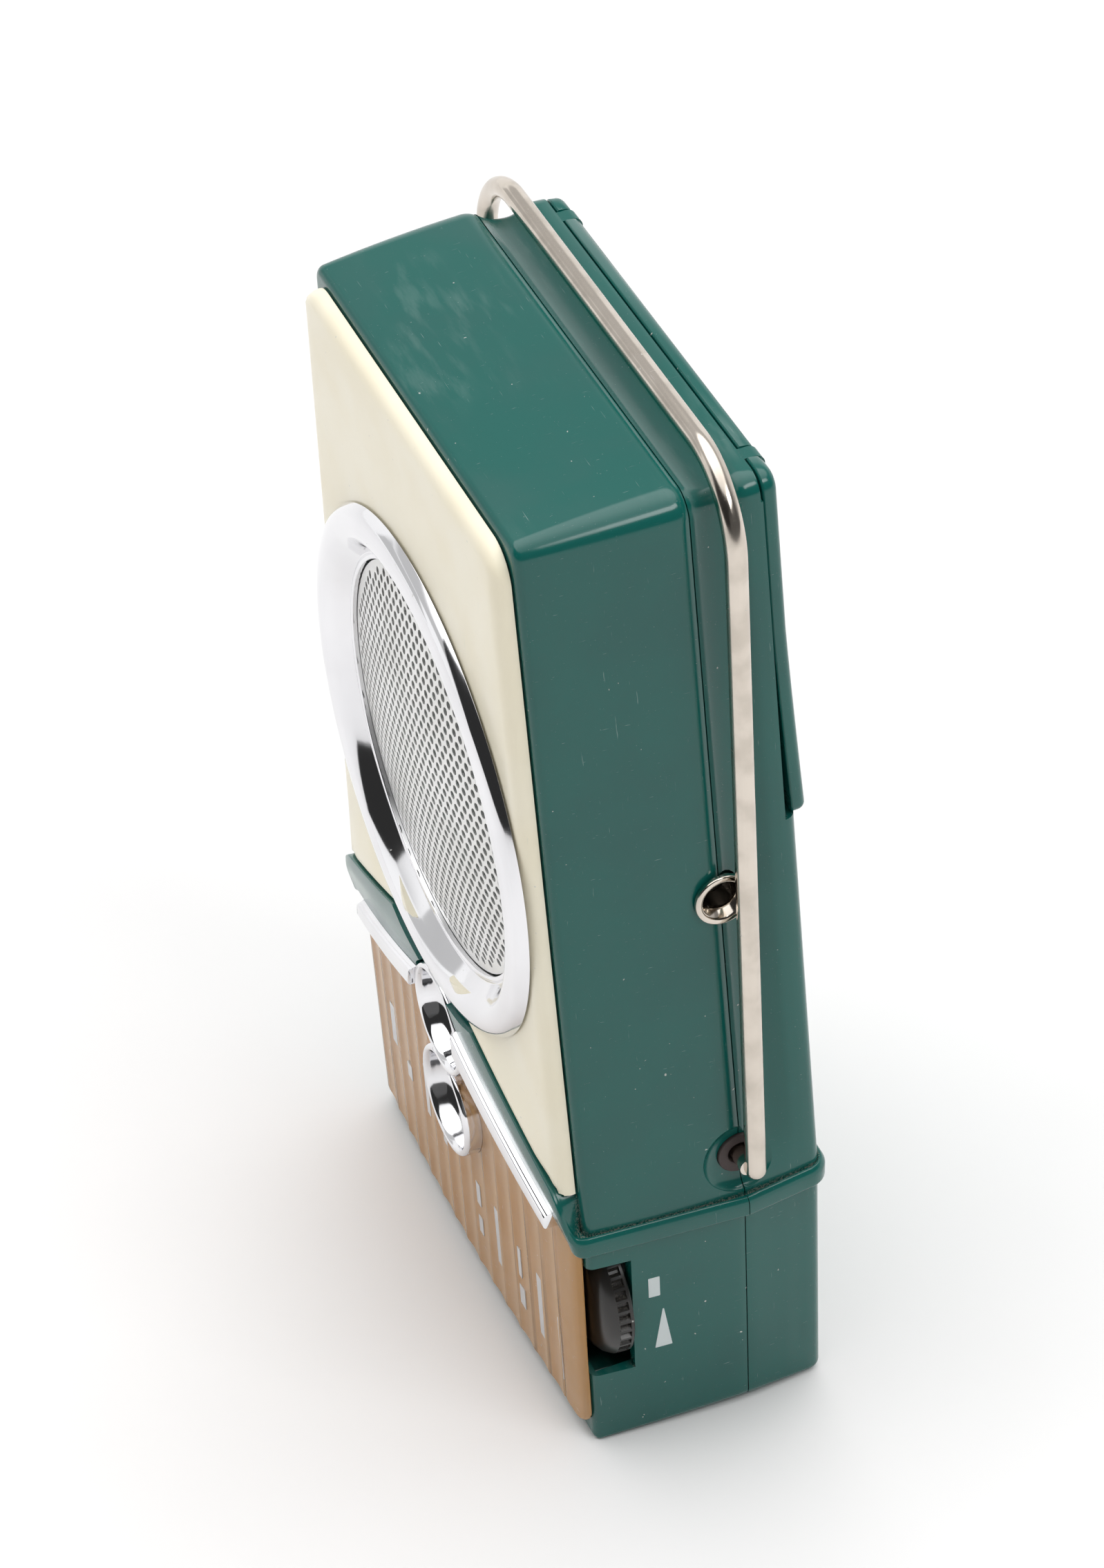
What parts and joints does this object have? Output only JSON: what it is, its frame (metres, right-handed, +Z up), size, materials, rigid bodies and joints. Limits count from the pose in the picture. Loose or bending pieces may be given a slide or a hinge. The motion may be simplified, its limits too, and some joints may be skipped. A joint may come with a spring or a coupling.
{
  "type": "transistor pocket radio",
  "caption": "Upright pocket radio with drafted plastic shells, round speaker grille, fluted dial window, side thumbwheels, hinged battery cover and a folding wire bail.",
  "frame": {"origin": "on the plane it stands on, under the middle of the radio's bounding box", "axes": "+Z up, -Y out of the front, +X to the right seen from the front"},
  "size_m": [0.0994, 0.0436, 0.1667],
  "materials": {
    "green_plastic": "gloss, fine scratches",
    "cream_plastic": "satin gloss",
    "chrome": "polished",
    "nickel_wire": "worn nickel plate",
    "silver_grille": "perforated, satin",
    "brown_lens": "clear brown, fluted",
    "gold_dial": "satin",
    "black_plastic": "moulded ribs",
    "white_plastic": "satin",
    "brass": "turned",
    "steel": "plated",
    "aluminium_can": "drawn",
    "fibre_washer": "fibre",
    "cone_paper": "paper",
    "board_phenolic": "phenolic board",
    "ferrite": "sintered",
    "coil_wire": "enamelled wire",
    "battery_sleeve": "printed sleeve, no print modelled"
  },
  "bodies": {
    "case": {"aerial_coil": "coil_wire", "bail_bush_left": "fibre_washer", "bail_bush_right": "fibre_washer", "battery": "battery_sleeve", "battery_snap": "black_plastic", "board_screw_1": "steel", "board_screw_2": "steel", "board_screw_3": "steel", "case_screw_1": "steel", "case_screw_2": "steel", "circuit_board": "board_phenolic", "cover_hinge_pin": "steel", "dial_plate": "gold_dial", "dial_window": "brown_lens", "driver_transformer": "steel", "earphone_jack": "nickel_wire", "electrolytic_1": "battery_sleeve", "electrolytic_2": "battery_sleeve", "electrolytic_3": "battery_sleeve", "ferrite_rod": "ferrite", "front_case": "green_plastic", "front_panel": "cream_plastic", "if_can_1": "aluminium_can", "if_can_2": "aluminium_can", "if_can_3": "aluminium_can", "if_can_4": "aluminium_can", "jack_nut": "steel", "output_transformer": "steel", "pointer_rail": "steel", "rear_case": "green_plastic", "rod_clip_left": "white_plastic", "rod_clip_right": "white_plastic", "speaker_bezel": "chrome", "speaker_cone": "cone_paper", "speaker_frame": "steel", "speaker_grille": "silver_grille", "speaker_magnet": "steel", "transistor_1": "aluminium_can", "transistor_2": "aluminium_can", "transistor_3": "aluminium_can", "transistor_4": "aluminium_can", "transistor_5": "aluminium_can", "transistor_6": "aluminium_can", "transistor_7": "aluminium_can", "transistor_8": "aluminium_can", "trim_ring_lower": "chrome", "trim_ring_upper": "chrome", "trim_wing_left": "chrome", "trim_wing_right": "chrome", "tuning_capacitor": "white_plastic", "volume_pot": "steel"},
    "bail": {"carry_bail": "nickel_wire"},
    "battery_door": {"battery_cover": "green_plastic"},
    "volume_knob": {"volume_wheel": "black_plastic", "volume_wheel_screw": "brass"},
    "tuning_knob": {"tuning_wheel": "black_plastic", "tuning_wheel_screw": "brass"},
    "pointer": {"dial_pointer": "white_plastic"}
  },
  "joints": [
    {"name": "bail_swing", "type": "hinge", "parent": "case", "child": "bail", "pos_m": [0, 0.0078, 0.0512], "axis": [-1, 0, 0], "range_deg": [-95, 95]},
    {"name": "cover_hinge", "type": "hinge", "parent": "case", "child": "battery_door", "pos_m": [0, 0.01965, 0.159], "axis": [1, 0, 0], "range_deg": [0, 110]},
    {"name": "volume_turn", "type": "hinge", "parent": "case", "child": "volume_knob", "pos_m": [0.0342, -0.0123, 0.0256], "axis": [0, 1, 0], "range_deg": [0, 280]},
    {"name": "tuning_turn", "type": "hinge", "parent": "case", "child": "tuning_knob", "pos_m": [-0.0322, -0.0123, 0.0256], "axis": [0, 1, 0], "range_deg": [-90, 90]},
    {"name": "pointer_slide", "type": "slide", "parent": "case", "child": "pointer", "axis": [1, 0, 0], "range_m": [-0.0281, 0.0281]}
  ],
  "couplings": [
    {"joint": "pointer_slide", "follows": "tuning_turn", "m_per_rad": 0.0178}
  ]
}
